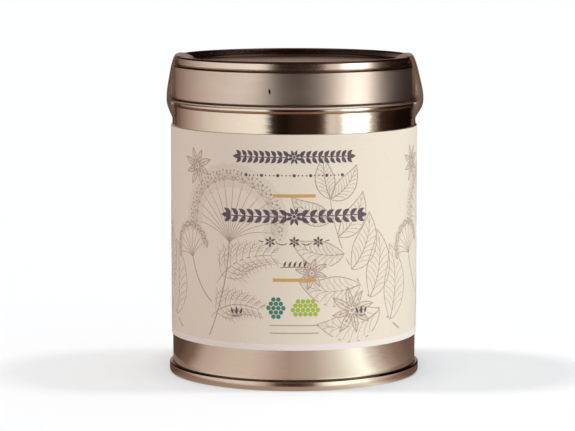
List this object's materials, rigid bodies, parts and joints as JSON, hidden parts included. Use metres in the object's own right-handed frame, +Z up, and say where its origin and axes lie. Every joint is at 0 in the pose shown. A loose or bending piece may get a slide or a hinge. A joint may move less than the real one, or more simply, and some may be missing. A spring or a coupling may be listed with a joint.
{
  "type": "spice tin",
  "caption": "Round tinplate canister with a slip-on lid, a paper wrap label and clear film seals, made to keep dry spices closed and dark.",
  "frame": {"origin": "centre of the foot ring, at the height of the surface that the tin stands on", "axes": "+Z up along the tin's axis, -Y towards the front of the label, +X to the right as seen from the front"},
  "size_m": [0.0683, 0.0668, 0.0846],
  "materials": {
    "can_body": "satin",
    "base_end": "satin",
    "lid": "satin",
    "label": "matte",
    "seal_left": "gloss",
    "seal_right": "gloss"
  },
  "bodies": {
    "root": {"can_body": "can_body", "base_end": "base_end", "lid": "lid", "label": "label", "seal_left": "seal_left", "seal_right": "seal_right"}
  },
  "joints": []
}
